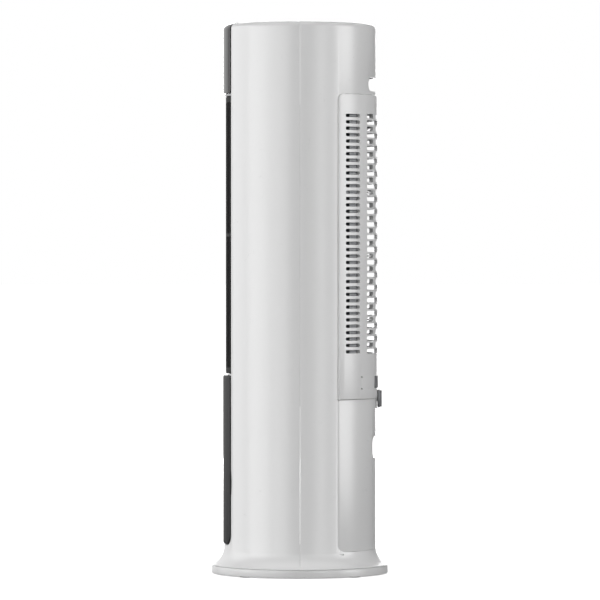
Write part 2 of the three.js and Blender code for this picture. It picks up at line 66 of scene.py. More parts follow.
def moulded_plastic(name, color, shade, roughness, grain, depth, scuffs=0.15, gloss=0.5):
    """Moulded thermoplastic: even colour with a faint cloud, a spark-eroded grain and light rubs.
    grain is the size of the surface texture and depth its height, both in metres."""
    material = bpy.data.materials.new(name)
    material.use_nodes = True
    material.node_tree.nodes.clear()
    place = add_node(material, "ShaderNodeTexCoord").outputs["Object"]
    cloud = add_node(material, "ShaderNodeTexNoise", {"Vector": place, "Scale": 14.0, "Detail": 3.0})
    rubs = add_node(material, "ShaderNodeTexNoise", {
        "Vector": place, "Scale": 60.0, "Detail": 8.0, "Roughness": 0.7, "Distortion": 0.6,
    })
    rub_mask = add_node(material, "ShaderNodeMapRange", {
        "Value": rubs.outputs["Fac"], "From Min": 0.56, "From Max": 0.74, "To Min": 0.0, "To Max": scuffs,
    })
    texture = add_node(material, "ShaderNodeTexNoise", {
        "Vector": place, "Scale": 1.0 / grain, "Detail": 2.0, "Roughness": 0.6,
    })
    tone = add_node(material, "ShaderNodeMix", {
        "Factor": cloud.outputs["Fac"], 6: srgb(color), 7: srgb(shade),
    }, data_type="RGBA")
    sheen = add_node(material, "ShaderNodeMath", {
        0: texture.outputs["Fac"], 1: 0.10, 2: roughness - 0.05,
    }, operation="MULTIPLY_ADD")
    worn_sheen = add_node(material, "ShaderNodeMath", {
        0: sheen.outputs[0], 1: rub_mask.outputs["Result"],
    }, operation="SUBTRACT")
    relief = add_node(material, "ShaderNodeBump", {
        "Height": texture.outputs["Fac"], "Strength": 0.5, "Distance": depth,
    })
    plastic = add_node(material, "ShaderNodeBsdfPrincipled", {
        "Base Color": tone.outputs[2], "Roughness": worn_sheen.outputs[0], "IOR": 1.5,
        "Normal": relief.outputs["Normal"], "Specular IOR Level": gloss,
    })
    add_node(material, "ShaderNodeOutputMaterial", {"Surface": plastic.outputs[0]})
    return material


def select_only(piece):
    bpy.ops.object.select_all(action="DESELECT")
    piece.select_set(True)
    bpy.context.view_layer.objects.active = piece


def apply_modifier(piece, kind, **settings):
    select_only(piece)
    modifier = piece.modifiers.new(kind.title(), kind)
    for name, value in settings.items():
        setattr(modifier, name, value)
    bpy.ops.object.modifier_apply(modifier=modifier.name)


def soften_edges(piece, width, segments=2, sharper_than=50):
    """Rounds every edge that is sharper than an angle in degrees."""
    apply_modifier(
        piece, "BEVEL", width=width, segments=segments, limit_method="ANGLE", angle_limit=radians(sharper_than),
    )


def turned(name, outline, steps=192):
    """Spins a closed outline of (radius, height) points about the upright axis."""
    bpy.ops.object.select_all(action="DESELECT")
    bpy.ops.mesh.primitive_circle_add(vertices=len(outline), radius=0.01)
    piece = bpy.context.object
    piece.name = name
    for vertex, (radius, height) in zip(piece.data.vertices, outline):
        vertex.co = (radius, 0, height)
    bpy.ops.object.mode_set(mode="EDIT")
    bpy.ops.mesh.select_all(action="SELECT")
    bpy.ops.mesh.spin(steps=steps, angle=2 * pi, center=(0, 0, 0), axis=(0, 0, 1))
    bpy.ops.mesh.select_all(action="SELECT")
    bpy.ops.mesh.remove_doubles(threshold=0.00001)
    bpy.ops.mesh.delete_loose()
    bpy.ops.mesh.select_all(action="SELECT")
    bpy.ops.mesh.normals_make_consistent(inside=False)
    bpy.ops.object.mode_set(mode="OBJECT")
    return piece


def block(name, low, high, corner=0.0, along="Y", segments=6):
    """A box between two corners, with its edges along one axis rounded."""
    bpy.ops.object.select_all(action="DESELECT")
    middle = [(a + b) / 2 for a, b in zip(low, high)]
    bpy.ops.mesh.primitive_cube_add(size=1, location=middle)
    piece = bpy.context.object
    piece.name = name
    piece.scale = [b - a for a, b in zip(low, high)]
    bpy.ops.object.transform_apply(location=True, rotation=True, scale=True)
    if corner:
        axis = "XYZ".index(along)
        bpy.ops.object.mode_set(mode="EDIT")
        bpy.ops.mesh.select_mode(type="EDGE")
        bpy.ops.object.mode_set(mode="OBJECT")
        for face in piece.data.polygons:
            face.select = False
        for vertex in piece.data.vertices:
            vertex.select = False
        for edge in piece.data.edges:
            a, b = (piece.data.vertices[i].co for i in edge.vertices)
            edge.select = abs(a[axis] - b[axis]) > 0.5 * (high[axis] - low[axis])
        bpy.ops.object.mode_set(mode="EDIT")
        bpy.ops.mesh.bevel(offset=corner, segments=segments, profile=0.5, affect="EDGES")
        bpy.ops.object.mode_set(mode="OBJECT")
    return piece


def rod(name, radius, start, end, corner=0.0, vertices=64):
    """A round bar between two points, with its rims rounded."""
    bpy.ops.object.select_all(action="DESELECT")
    start, end = Vector(start), Vector(end)
    along = end - start
    bpy.ops.mesh.primitive_cylinder_add(
        vertices=vertices, radius=radius, depth=along.length, location=(start + end) / 2,
        rotation=along.to_track_quat("Z", "Y").to_euler(),
    )
    piece = bpy.context.object
    piece.name = name
    bpy.ops.object.transform_apply(location=True, rotation=True, scale=True)
    if corner:
        soften_edges(piece, corner, segments=3)
    return piece


def combine(piece, tools, operation="DIFFERENCE"):
    """Cuts the tools away from a piece, or adds them to it, and removes the tools."""
    for tool in tools:
        apply_modifier(piece, "BOOLEAN", object=tool, operation=operation, solver="MANIFOLD")
        bpy.data.objects.remove(tool)


def finish_piece(piece, material, body, replaced):
    select_only(piece)
    bpy.ops.object.shade_smooth_by_angle(angle=radians(35))
    piece.data.materials.clear()
    piece.data.materials.append(material)
    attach(piece, body)
    if replaced:
        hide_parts(*replaced)


# Satin white ABS: fine spark-eroded texture, soft highlights, even colour.
white_abs = moulded_plastic(
    "white_abs_fine_texture", "#DFDFDF", "#DDDDDD", 0.30, 0.0009, 0.00002, scuffs=0.03, gloss=0.85,
)

body_radius = 0.083
inner_radius = body_radius - 0.0027
rim_radius = 0.0770
rim_height = 0.5996
lid_seat = 0.5968
top_inside = 0.5945
top_rounding = 0.0055
skirt_foot = 0.0099
flare_start = Vector((0.096, 0.0105))
flare_pull = Vector((0.086, 0.015))
flare_end = Vector((body_radius, 0.027))
flare = []
for step in range(13):
    t = step / 12
    flare.append((1 - t) ** 2 * flare_start + 2 * t * (1 - t) * flare_pull + t ** 2 * flare_end)
outline = [(0.0925, skirt_foot), (0.0954, skirt_foot), (0.0959, 0.0101)] + [tuple(point) for point in flare]
for step in range(9):
    turn = radians(90 * step / 8)
    outline.append((
        body_radius + top_rounding * (cos(turn) - 1), rim_height + top_rounding * (sin(turn) - 1),
    ))
outline += [(rim_radius + 0.0002, rim_height), (rim_radius, rim_height - 0.0002), (rim_radius, lid_seat)]
outline += [(0.0744, lid_seat), (0.0744, top_inside), (inner_radius, top_inside), (inner_radius, 0.027)]
outline += [(0.0835, 0.0165), (0.0875, 0.0128), (0.0925, 0.0118)]
skin = turned("tower_skin", outline, steps=256)


def copy_of(piece, name):
    select_only(piece)
    bpy.ops.object.duplicate()
    bpy.context.object.name = name
    return bpy.context.object


strip_half_width = 0.0356
strip_gap = 0.0003
joint_line = 0.00005
front_shell = copy_of(skin, "front_half_shell")
combine(front_shell, [block("rear_half", (-0.12, -joint_line, -0.01), (0.12, 0.12, 0.62))])
opening_reach = strip_half_width + strip_gap
combine(front_shell, [
    block("strip_opening", (-opening_reach, -0.12, 0.0326), (opening_reach, -0.04, 0.72), 0.0113, "Y", 10),
])

# A shallow finger scoop at each side of the lower panel, where it is gripped to unclip it.
for side in (-1, 1):
    bpy.ops.object.select_all(action="DESELECT")
    bpy.ops.mesh.primitive_uv_sphere_add(segments=64, ring_count=48, radius=1, location=(0, 0, 0))
    scoop = bpy.context.object
    scoop.scale = (0.0086, 0.0024, 0.026)
    bpy.ops.object.transform_apply(location=True, rotation=True, scale=True)
    lean = side * radians(25.6)
    scoop_centre = body_radius + 0.0020
    scoop.rotation_euler = (0, 0, lean)
    scoop.location = (scoop_centre * sin(lean), -scoop_centre * cos(lean), 0.100)
    bpy.ops.object.transform_apply(location=True, rotation=True, scale=True)
    combine(front_shell, [scoop])
soften_edges(front_shell, 0.00015, sharper_than=40)
finish_piece(front_shell, white_abs, "tower", ["front_shell"])

# The sunk wall behind the strip, moulded in the same white, carries the panels and frames the outlet.
backing_radius = 0.0779
backing_inner = backing_radius - 0.0027
strip_backing = turned("strip_backing", [
    (backing_inner, 0.028), (backing_radius, 0.028), (backing_radius, 0.594), (backing_inner, 0.594),
])
combine(strip_backing, [block("backing_width", (-0.0372, -0.12, 0.02), (0.0372, -0.04, 0.6))], "INTERSECT")
combine(strip_backing, [block("outlet_window", (-0.031, -0.12, 0.228), (0.031, -0.04, 0.512), 0.004)])
finish_piece(strip_backing, white_abs, "tower", [])

rear_shell = copy_of(skin, "rear_half_shell")
bpy.data.objects.remove(skin)
combine(rear_shell, [block("front_half", (-0.12, -0.12, -0.01), (0.12, joint_line, 0.62))])
cover_opening = 0.0723
handle_reach = 0.037
top_screw_height = 0.588
combine(rear_shell, [
    block("rear_opening", (-cover_opening, 0.02, 0.0276), (cover_opening, 0.12, 0.5225), 0.0065),
    block("handle_hole", (-handle_reach, 0.05, 0.5262), (handle_reach, 0.12, 0.541), 0.0062),
    rod("screw_well", 0.0036, (0, 0.0812, top_screw_height), (0, 0.1, top_screw_height)),
    rod("screw_bore", 0.0019, (0, 0.06, top_screw_height), (0, 0.1, top_screw_height)),
])

# Two short, shallow slots at the foot mark the snaps of the lower rear cover.
for side in (-1, 1):
    snap_slot = block("snap_slot", (-0.0027, 0.0825, 0.0243), (0.0027, 0.095, 0.0257), 0.0005)
    snap_slot.rotation_euler = (0, 0, side * radians(57.5))
    select_only(snap_slot)
    bpy.ops.object.transform_apply(location=True, rotation=True, scale=True)
    combine(rear_shell, [snap_slot])
soften_edges(rear_shell, 0.00015, sharper_than=40)
finish_piece(rear_shell, white_abs, "tower", ["rear_shell"])

# ---------------------------------------------------------------------------
# Lid. A flat ABS disc pressed into the rim of the two half shells, with a
# cut-out where the display panel folds over the top.
# ---------------------------------------------------------------------------

lid_radius = 0.0767
lid_underside = 0.5972
lid = turned("top_lid", [
    (0, lid_underside), (lid_radius, lid_underside), (lid_radius, rim_height - 0.0003),
    (lid_radius - 0.0003, rim_height), (0.0735, rim_height), (0, rim_height),
])
combine(lid, [block("tongue_cut", (-0.0359, -0.12, 0.59), (0.0359, -0.0357, 0.61), 0.0063, "Z", 8)])
finish_piece(lid, white_abs, "tower", ["top_cap"])

# ---------------------------------------------------------------------------
# Display panel. One gloss black PMMA moulding, curved like the tower, that
# rounds over the top edge and ends in a tongue on the lid. The touch marks
# and the digits behind it stay dark until it is switched on.
# ---------------------------------------------------------------------------


def gloss_panel(name, color):
    """Back-painted PMMA: deep black under a clear, very smooth face with faint wipe marks."""
    material = bpy.data.materials.new(name)
    material.use_nodes = True
    material.node_tree.nodes.clear()
    place = add_node(material, "ShaderNodeTexCoord").outputs["Object"]
    wipe = add_node(material, "ShaderNodeTexNoise", {
        "Vector": place, "Scale": 22.0, "Detail": 6.0, "Roughness": 0.65, "Distortion": 1.2,
    })
    smear = add_node(material, "ShaderNodeMapRange", {
        "Value": wipe.outputs["Fac"], "From Min": 0.45, "From Max": 0.75, "To Min": 0.12, "To Max": 0.18,
    })
    tint = add_node(material, "ShaderNodeMix", {
        "Factor": wipe.outputs["Fac"], 6: srgb(color), 7: srgb("#121214"),
    }, data_type="RGBA")
    glass = add_node(material, "ShaderNodeBsdfPrincipled", {
        "Base Color": tint.outputs[2], "Roughness": smear.outputs["Result"], "IOR": 1.49,
        "Coat Weight": 0.2, "Coat Roughness": 0.06,
    })
    add_node(material, "ShaderNodeOutputMaterial", {"Surface": glass.outputs[0]})
    return material


black_pmma = gloss_panel("black_pmma_polished", "#0A0A0C")
display_radius, display_rounding = 0.084, 0.007
display_foot, display_top, tongue_underside = 0.5240, 0.6, 0.5974
panel_outline = [
    (0, tongue_underside), (0.0771, tongue_underside), (0.0800, 0.5944), (0.0802, display_foot),
    (display_radius - 0.0003, display_foot), (display_radius, display_foot + 0.0003),
]
for step in range(11):
    turn = radians(90 * step / 10)
    panel_outline.append((
        display_radius + display_rounding * (cos(turn) - 1), display_top + display_rounding * (sin(turn) - 1),
    ))
panel_outline += [(0.04, display_top), (0, display_top)]
display_panel = turned("display_panel_gloss", panel_outline, 256)
combine(display_panel, [
    block("panel_width", (-strip_half_width, -0.12, 0.5), (strip_half_width, -0.036, 0.62), 0.006, "Z", 8),
], "INTERSECT")
soften_edges(display_panel, 0.0004, segments=3, sharper_than=40)
finish_piece(display_panel, black_pmma, "tower", ["display_panel"])

# ---------------------------------------------------------------------------
# Base. A flat ABS disc with rounded edges that stands still while the tower
# turns on it, closed below by a dark plate with four rubber feet.
# ---------------------------------------------------------------------------

base_radius, base_top = 0.0965, 0.0097
foot_rounding, top_edge_rounding = 0.0008, 0.0006
rim_foot, plate_recess, track_height = 0.0012, 0.0069, 0.0094
post_radius, post_bore, post_top = 0.020, 0.010, 0.027
base_outline = [
    (post_bore, plate_recess), (0.0936, plate_recess), (0.0936, rim_foot),
    (base_radius - foot_rounding, rim_foot),
]
for step in range(5):
    turn = radians(90 * step / 4 - 90)
    base_outline.append((
        base_radius + foot_rounding * (cos(turn) - 1), rim_foot + foot_rounding * (sin(turn) + 1),
    ))
for step in range(7):
    turn = radians(90 * step / 6)
    base_outline.append((
        base_radius + top_edge_rounding * (cos(turn) - 1), base_top + top_edge_rounding * (sin(turn) - 1),
    ))
base_outline += [(0.090, base_top), (0.0895, track_height), (post_radius, track_height)]
base_outline += [(post_radius, post_top), (post_bore, post_top)]
base_disc = turned("base_disc_moulded", base_outline, 256)
finish_piece(base_disc, white_abs, "base", ["base_disc"])

# ---------------------------------------------------------------------------
# Outlet grille. Satin black ABS bars that stand upright across the whole
# outlet, tied at mid height by one rail; moulded flat-backed and sprung in
# behind the strip opening.
# ---------------------------------------------------------------------------


def round_outer_edges(piece, face_y, offset, segments):
    """Rounds the rim of the face that lies flat at one y."""
    select_only(piece)
    bpy.ops.object.mode_set(mode="EDIT")
    bpy.ops.mesh.select_mode(type="EDGE")
    bpy.ops.mesh.select_all(action="DESELECT")
    bpy.ops.object.mode_set(mode="OBJECT")
    mesh = piece.data
    uses = {}
    for face in mesh.polygons:
        if all(abs(mesh.vertices[i].co.y - face_y) < 1e-6 for i in face.vertices):
            for key in face.edge_keys:
                uses[key] = uses.get(key, 0) + 1
    for edge in mesh.edges:
        edge.select = uses.get(tuple(sorted(edge.vertices)), 0) == 1
    bpy.ops.object.mode_set(mode="EDIT")
    bpy.ops.mesh.bevel(offset=offset, segments=segments, profile=0.5, affect="EDGES")
    bpy.ops.object.mode_set(mode="OBJECT")


def curve_round_tower(piece, radius, rear=False):
    """Curves a flat piece round the upright axis: its y = 0 plane comes to lie at the radius."""
    xs = [vertex.co.x for vertex in piece.data.vertices]
    width = max(xs) - min(xs)
    strip_width = 0.0032
    count = int(width / strip_width)
    select_only(piece)
    bpy.ops.object.mode_set(mode="EDIT")
    for i in range(1, count):
        bpy.ops.mesh.select_all(action="SELECT")
        bpy.ops.mesh.bisect(plane_co=(min(xs) + width * i / count, 0, 0), plane_no=(1, 0, 0))
    bpy.ops.object.mode_set(mode="OBJECT")
    apply_modifier(piece, "SIMPLE_DEFORM", deform_method="BEND", deform_axis="Z", angle=width / radius)
    piece.location = (0, radius if rear else -radius, 0)
    piece.rotation_euler = (0, 0, pi if rear else 0)
    bpy.ops.object.transform_apply(location=True, rotation=True, scale=True)


def repeated(tool, count, step):
    """Repeats a cutting tool upwards or downwards."""
    apply_modifier(
        tool, "ARRAY", count=count, use_relative_offset=False, use_constant_offset=True,
        constant_offset_displace=(0, 0, step),
    )
    return tool


satin_black = moulded_plastic(
    "black_abs_matt", "#121213", "#171718", 0.58, 0.0008, 0.00003, scuffs=0.05, gloss=0.22,
)
grille_radius = 0.0783
grille_reach, grille_thickness = 0.0347, 0.0027
column_angle, slot_half_width = 4.06, 0.00191
grille = block(
    "outlet_grille_bars", (-grille_reach, -grille_thickness, 0.2193), (grille_reach, 0, 0.5209), 0.003,
)
round_outer_edges(grille, -grille_thickness, 0.0006, 2)
grille_tools = []
for column in range(11):
    middle = radians((column - 5) * column_angle) * grille_radius
    for low, high in ((0.2253, 0.3685), (0.3715, 0.5149)):
        left, right = middle - slot_half_width, middle + slot_half_width
        grille_tools.append(block("outlet_slot", (left, -0.01, low), (right, 0.01, high), 0.0018))
combine(grille, grille_tools)
soften_edges(grille, 0.0006)
curve_round_tower(grille, grille_radius)
finish_piece(grille, satin_black, "tower", ["outlet_grille"])

# ---------------------------------------------------------------------------
# Trim bar. A silver-grey painted strip closes the gap between the display
# panel and the grille.
# ---------------------------------------------------------------------------

grey_abs = moulded_plastic("grey_abs_painted", "#B4B5B6", "#ACADAE", 0.34, 0.0007, 0.00002)
trim_thickness = 0.0037
trim_bar = block("display_trim_bar", (-grille_reach, -trim_thickness, 0.5212), (grille_reach, 0, 0.5237))
round_outer_edges(trim_bar, -trim_thickness, 0.0005, 2)
curve_round_tower(trim_bar, grille_radius)
finish_piece(trim_bar, grey_abs, "tower", ["display_trim"])

# ---------------------------------------------------------------------------
# Lower front panel. One charcoal ABS moulding with softly rounded edges and
# wide bottom corners, clipped over the foot of the front shell.
# ---------------------------------------------------------------------------

charcoal_abs = moulded_plastic(
    "charcoal_abs_satin", "#1B1B1C", "#202021", 0.50, 0.0008, 0.00003, scuffs=0.05, gloss=0.3,
)
panel_radius = 0.0784
panel_thickness = display_radius - panel_radius
panel_reach = asin(strip_half_width / display_radius) * panel_radius
lower_panel = block(
    "lower_front_panel_shell", (-panel_reach, -panel_thickness, 0.033), (panel_reach, 0, 0.25), 0.0105, "Y", 10,
)
combine(lower_panel, [block("panel_top_cut", (-0.1, -0.1, 0.0), (0.1, 0.1, 0.217))], "INTERSECT")
round_outer_edges(lower_panel, -panel_thickness, 0.0022, 5)
curve_round_tower(lower_panel, panel_radius)
finish_piece(lower_panel, charcoal_abs, "tower", ["lower_front_panel"])

# ---------------------------------------------------------------------------
# Filter cover. A curved white ABS grille, a little proud of the tower: one
# column of short slots down each side and a brick bond of wide holes across
# the rear, with four ribs behind that hold the filter.
# ---------------------------------------------------------------------------

cover_radius = 0.0812
cover_thickness = 0.0033
cover_reach = radians(60.4) * cover_radius
latch_height = 0.1915
slot_rows = 38
slot_top = 0.4988
slot_pitch = 0.006892
filter_cover = block(
    "filter_cover_grille", (-cover_reach, -cover_thickness, 0.170), (cover_reach, 0, 0.5222), 0.0062, "Y", 8,
)
combine(filter_cover, [block("cover_foot_cut", (-0.2, -0.1, 0.192), (0.2, 0.1, 0.6))], "INTERSECT")
round_outer_edges(filter_cover, -cover_thickness, 0.0009, 3)
combine(filter_cover, [
    rod("latch_tongue", 0.0106, (0, -0.0029, latch_height), (0, 0, latch_height), 0, 96),
], "UNION")


def slot_tool(from_angle, to_angle, height, corner, first_row, rows, row_step):
    """A column of slots between two angles from the middle of the rear."""
    middle = slot_top - first_row * slot_pitch
    tool = block(
        "slot_tool", (radians(from_angle) * cover_radius, -0.01, middle - height / 2),
        (radians(to_angle) * cover_radius, 0.01, middle + height / 2), corner, "Y", 4,
    )
    return repeated(tool, rows, -row_step * slot_pitch)


half_rows = slot_rows // 2
slots = []
for low, high in ((-54.2, -39.9), (39.9, 54.2)):
    slots.append(slot_tool(low, high, 0.0037, 0.0017, 0, slot_rows, 1))
for low, high in ((-30.8, -20.0), (-13.0, 13.0), (20.0, 30.8)):
    slots.append(slot_tool(low, high, 0.0050, 0.0020, 0, half_rows, 2))
for low, high in ((-30.8, -3.6), (3.6, 30.8)):
    slots.append(slot_tool(low, high, 0.0050, 0.0020, 1, half_rows, 2))
combine(filter_cover, slots)

# A fine groove marks out the pull tab at the foot of the cover, with a small notch at each corner.
tab_reach, tab_low, tab_high = radians(37.6) * cover_radius, 0.2030, 0.2166
groove_floor = -cover_thickness + 0.0005
notch_floor = groove_floor + 0.0012
groove_half = 0.00022
notch_half_width, notch_half_height = 0.0013, 0.0010
groove_tools = []
for height in (tab_low, tab_high):
    low, high = height - groove_half, height + groove_half
    groove_tools.append(block("tab_groove", (-tab_reach, -0.01, low), (tab_reach, groove_floor, high)))
for side in (-1, 1):
    across = side * tab_reach
    left, right = across - groove_half, across + groove_half
    groove_tools.append(block("tab_groove", (left, -0.01, tab_low), (right, groove_floor, tab_high)))
    for height in (tab_low + 0.0005, tab_high - 0.0005):
        groove_tools.append(block(
            "tab_notch", (across - notch_half_width, -0.01, height - notch_half_height),
            (across + notch_half_width, notch_floor, height + notch_half_height), 0.0004,
        ))
combine(filter_cover, groove_tools)
combine(filter_cover, [rod("knob_bore", 0.0035, (0, -0.01, latch_height), (0, 0.01, latch_height), 0, 32)])
soften_edges(filter_cover, 0.0003)
curve_round_tower(filter_cover, cover_radius, rear=True)
finish_piece(filter_cover, white_abs, "filter_cover", ["filter_cover"])

rib_radius = cover_radius + 0.0006
for number, row in enumerate((2, 12, 22, 32)):
    height = slot_top - row * slot_pitch
    name = f"filter_rib_{number + 1}"
    rib = rod(name, rib_radius, (0, 0, height - 0.0008), (0, 0, height + 0.0008), 0, 128)
    combine(rib, [block("rib_width", (-0.034, 0.0714, 0), (0.034, 0.1, 0.6))], "INTERSECT")
    finish_piece(rib, white_abs, "filter_cover", [])

# ---------------------------------------------------------------------------
# Finger plate. A grey ABS plate let into the foot of the filter cover, to
# pull the cover off by.
# ---------------------------------------------------------------------------

plate_grey = moulded_plastic("grey_abs_textured", "#7A7B7D", "#737476", 0.45, 0.0008, 0.00004)
plate_thickness = 0.0010
finger_plate = block("finger_plate_grey", (-0.024, -plate_thickness, 0.2034), (0.024, 0, tab_high), 0.0015)
round_outer_edges(finger_plate, -plate_thickness, 0.0004, 3)
curve_round_tower(finger_plate, 0.0843, rear=True)
finish_piece(finger_plate, plate_grey, "filter_cover", ["finger_plate"])

# ---------------------------------------------------------------------------
# Latch knob. A grey quarter-turn knob with a grip bar; its shaft runs through
# the cover's tongue to a cam that turns behind the lower cover.
# ---------------------------------------------------------------------------

knob_face, cam_back = 0.0876, 0.0758
grip_half_length = 0.0090
knob = rod("latch_knob_turned", 0.0098, (0, 0.0846, latch_height), (0, knob_face, latch_height), 0.0010)
grip = block(
    "grip_bar", (-0.0026, 0.0870, latch_height - grip_half_length),
    (0.0026, knob_face + 0.0018, latch_height + grip_half_length), 0.0012, "Y", 4,
)
soften_edges(grip, 0.0006, segments=3)
shaft = rod("knob_shaft", 0.0031, (0, cam_back, latch_height), (0, 0.0855, latch_height))
cam = block("latch_cam", (-0.002, cam_back, -0.003), (0.015, cam_back + 0.0024, 0.003), 0.0005)
cam.rotation_euler = (0, radians(-45), 0)
cam.location = (0, 0, latch_height)
select_only(cam)
bpy.ops.object.transform_apply(location=True, rotation=True, scale=True)
combine(knob, [grip, shaft, cam], "UNION")
knob_grey = moulded_plastic("grey_abs_knob", "#8B8C8E", "#838486", 0.40, 0.0008, 0.00003)
finish_piece(knob, knob_grey, "latch", ["latch_knob"])

# ---------------------------------------------------------------------------
# Lower rear cover. White ABS, flush with the tower, with round top corners, a
# notch for the latch and a dish for the mains inlet.
# ---------------------------------------------------------------------------

lower_radius = 0.0803
lower_reach = radians(60.45) * lower_radius
inlet_height = 0.139
lower_thickness = body_radius - lower_radius
lower_cover = block(
    "lower_rear_cover_shell", (-lower_reach, -lower_thickness, 0.0), (lower_reach, 0, 0.1917), 0.0025, "Y", 8,
)
combine(lower_cover, [block("cover_foot_cut", (-0.2, -0.1, 0.0278), (0.2, 0.1, 0.3))], "INTERSECT")
dish_half_width, dish_half_height = 0.026, 0.012
dish_reach = asin(dish_half_width / body_radius) * lower_radius
dish_low, dish_high = inlet_height - dish_half_height, inlet_height + dish_half_height
combine(lower_cover, [
    rod("latch_notch", 0.0110, (0, -0.02, latch_height), (0, 0.02, latch_height), 0, 96),
    block("inlet_dish", (-dish_reach, -0.02, dish_low), (dish_reach, 0.02, dish_high), 0.0085, "Y", 8),
])
soften_edges(lower_cover, 0.0003, segments=3)
curve_round_tower(lower_cover, lower_radius, rear=True)
finish_piece(lower_cover, white_abs, "tower", ["lower_rear_cover"])

# A moulded ledge behind the lower cover's seams keeps light and fingers out.
ledge_radius = 0.0784
ledge_reach, ledge_inner = radians(63.0) * ledge_radius, radians(56.0) * ledge_radius
cover_ledge = block("rear_cover_ledge", (-ledge_reach, -0.0014, 0.0240), (ledge_reach, 0, 0.1990))
combine(cover_ledge, [
    block("ledge_window", (-ledge_inner, -0.01, 0.0340), (ledge_inner, 0.01, 0.1840)),
    block("latch_gap", (-0.020, -0.01, 0.1), (0.020, 0.01, 0.3)),
])
curve_round_tower(cover_ledge, ledge_radius, rear=True)
finish_piece(cover_ledge, white_abs, "tower", [])

# ---------------------------------------------------------------------------
# Mains inlet. A black thermoplastic appliance inlet screwed to the bottom of
# the dish, with three plated pins.
# ---------------------------------------------------------------------------

inlet_screw_reach = 0.02
pin_places = (-0.007, 0.0, 0.007)


def inlet_block(name, half_width, half_height, back, front, corner=0.0, across=0.0):
    """A box centred on the inlet's height, from a back y to a front y."""
    return block(
        name, (across - half_width, back, inlet_height - half_height),
        (across + half_width, front, inlet_height + half_height), corner,
    )


inlet = inlet_block("mains_inlet_body", 0.0256, 0.0116, 0.0725, 0.0755, 0.0081)
combine(inlet, [inlet_block("inlet_core", 0.0145, 0.010, 0.050, 0.0735, 0.001)], "UNION")
inlet_tools = [inlet_block("socket_hollow", 0.0125, 0.008, 0.056, 0.08, 0.003)]
for side in (-1, 1):
    screw_x = side * inlet_screw_reach
    start, end = (screw_x, 0.07, inlet_height), (screw_x, 0.08, inlet_height)
    inlet_tools.append(rod("inlet_bore", 0.0019, start, end, 0, 32))
for pin_x in pin_places:
    inlet_tools.append(inlet_block("pin_way", 0.0013, 0.0023, 0.04, 0.06, across=pin_x))
combine(inlet, inlet_tools)
soften_edges(inlet, 0.0004)
finish_piece(inlet, satin_black, "tower", ["inlet_socket"])


def plated_metal(name, color, shade, roughness, brush, stretch=(1.0, 1.0, 1.0)):
    """Plated or bare metal: fine drawn lines that vary its gloss, and a faint stain.
    brush is the spacing of the lines in metres."""
    material = bpy.data.materials.new(name)
    material.use_nodes = True
    material.node_tree.nodes.clear()
    place = add_node(material, "ShaderNodeTexCoord").outputs["Object"]
    drawn = add_node(material, "ShaderNodeMapping", {"Vector": place, "Scale": stretch})
    lines = add_node(material, "ShaderNodeTexNoise", {
        "Vector": drawn.outputs["Vector"], "Scale": 1.0 / brush, "Detail": 3.0,
    })
    stain = add_node(material, "ShaderNodeTexNoise", {"Vector": place, "Scale": 40.0, "Detail": 4.0})
    tone = add_node(material, "ShaderNodeMix", {
        "Factor": stain.outputs["Fac"], 6: srgb(color), 7: srgb(shade),
    }, data_type="RGBA")
    gloss = add_node(material, "ShaderNodeMath", {
        0: lines.outputs["Fac"], 1: 0.25, 2: roughness - 0.12,
    }, operation="MULTIPLY_ADD")
    relief = add_node(material, "ShaderNodeBump", {
        "Height": lines.outputs["Fac"], "Strength": 0.4, "Distance": 0.00001,
    })
    metal = add_node(material, "ShaderNodeBsdfPrincipled", {
        "Base Color": tone.outputs[2], "Roughness": gloss.outputs[0], "Metallic": 1.0,
        "Normal": relief.outputs["Normal"],
    })
    add_node(material, "ShaderNodeOutputMaterial", {"Surface": metal.outputs[0]})
    return material


zinc_steel = plated_metal("zinc_plated_steel", "#B9BBBD", "#A9ABAE", 0.34, 0.0006)
for number, pin_x in enumerate(pin_places):
    pin = inlet_block(f"mains_pin_{number + 1}", 0.001, 0.002, 0.044, 0.071, across=pin_x)
    soften_edges(pin, 0.0005, segments=3)
    finish_piece(pin, zinc_steel, "tower", [f"inlet_pin_{number + 1}"])

# ---------------------------------------------------------------------------
# Screws. Zinc-plated pan-head screws with a cross recess: one at the top of
# the rear shell and two in the inlet.
# ---------------------------------------------------------------------------


def pan_head_screw(name, radius, height, seat, shank_length, replaced):
    """A screw whose head faces the rear, with the underside of its head at the seat point."""
    x, y, z = seat
    screw = rod(name, radius, (x, y, z), (x, y + height, z), height * 0.42, 40)
    combine(screw, [rod("shank", 0.0015, (x, y - shank_length, z), (x, y + 0.0002, z), 0, 24)], "UNION")
    long_half, short_half = radius * 0.62, 0.0003
    recess_floor, past_head = y + height * 0.45, y + height + 0.001
    for half_width, half_height in ((long_half, short_half), (short_half, long_half)):
        recess = block(
            "cross_recess", (x - half_width, recess_floor, z - half_height),
            (x + half_width, past_head, z + half_height),
        )
        combine(screw, [recess])
    finish_piece(screw, zinc_steel, "tower", [replaced])


pan_head_screw("top_shell_screw", 0.003, 0.0012, (0, 0.0813, top_screw_height), 0.010, "top_screw")
for number, side in enumerate((-1, 1)):
    seat = (side * inlet_screw_reach, 0.0758, inlet_height)
    pan_head_screw(
        f"inlet_flange_screw_{number + 1}", 0.0028, 0.0014, seat, 0.008, f"inlet_screw_{number + 1}",
    )

# ---------------------------------------------------------------------------
# Handle cup. A white ABS pocket behind the finger hole, with soft edges where
# the fingers go in.
# ---------------------------------------------------------------------------

handle_cup = block("handle_cup_pocket", (-0.039, 0.054, 0.523), (0.039, 0.0688, 0.544), 0.003)
combine(handle_cup, [block("cup_hollow", (-handle_reach, 0.056, 0.5255), (handle_reach, 0.09, 0.5415), 0.0028)])
soften_edges(handle_cup, 0.0005)
finish_piece(handle_cup, white_abs, "tower", ["handle_cup"])

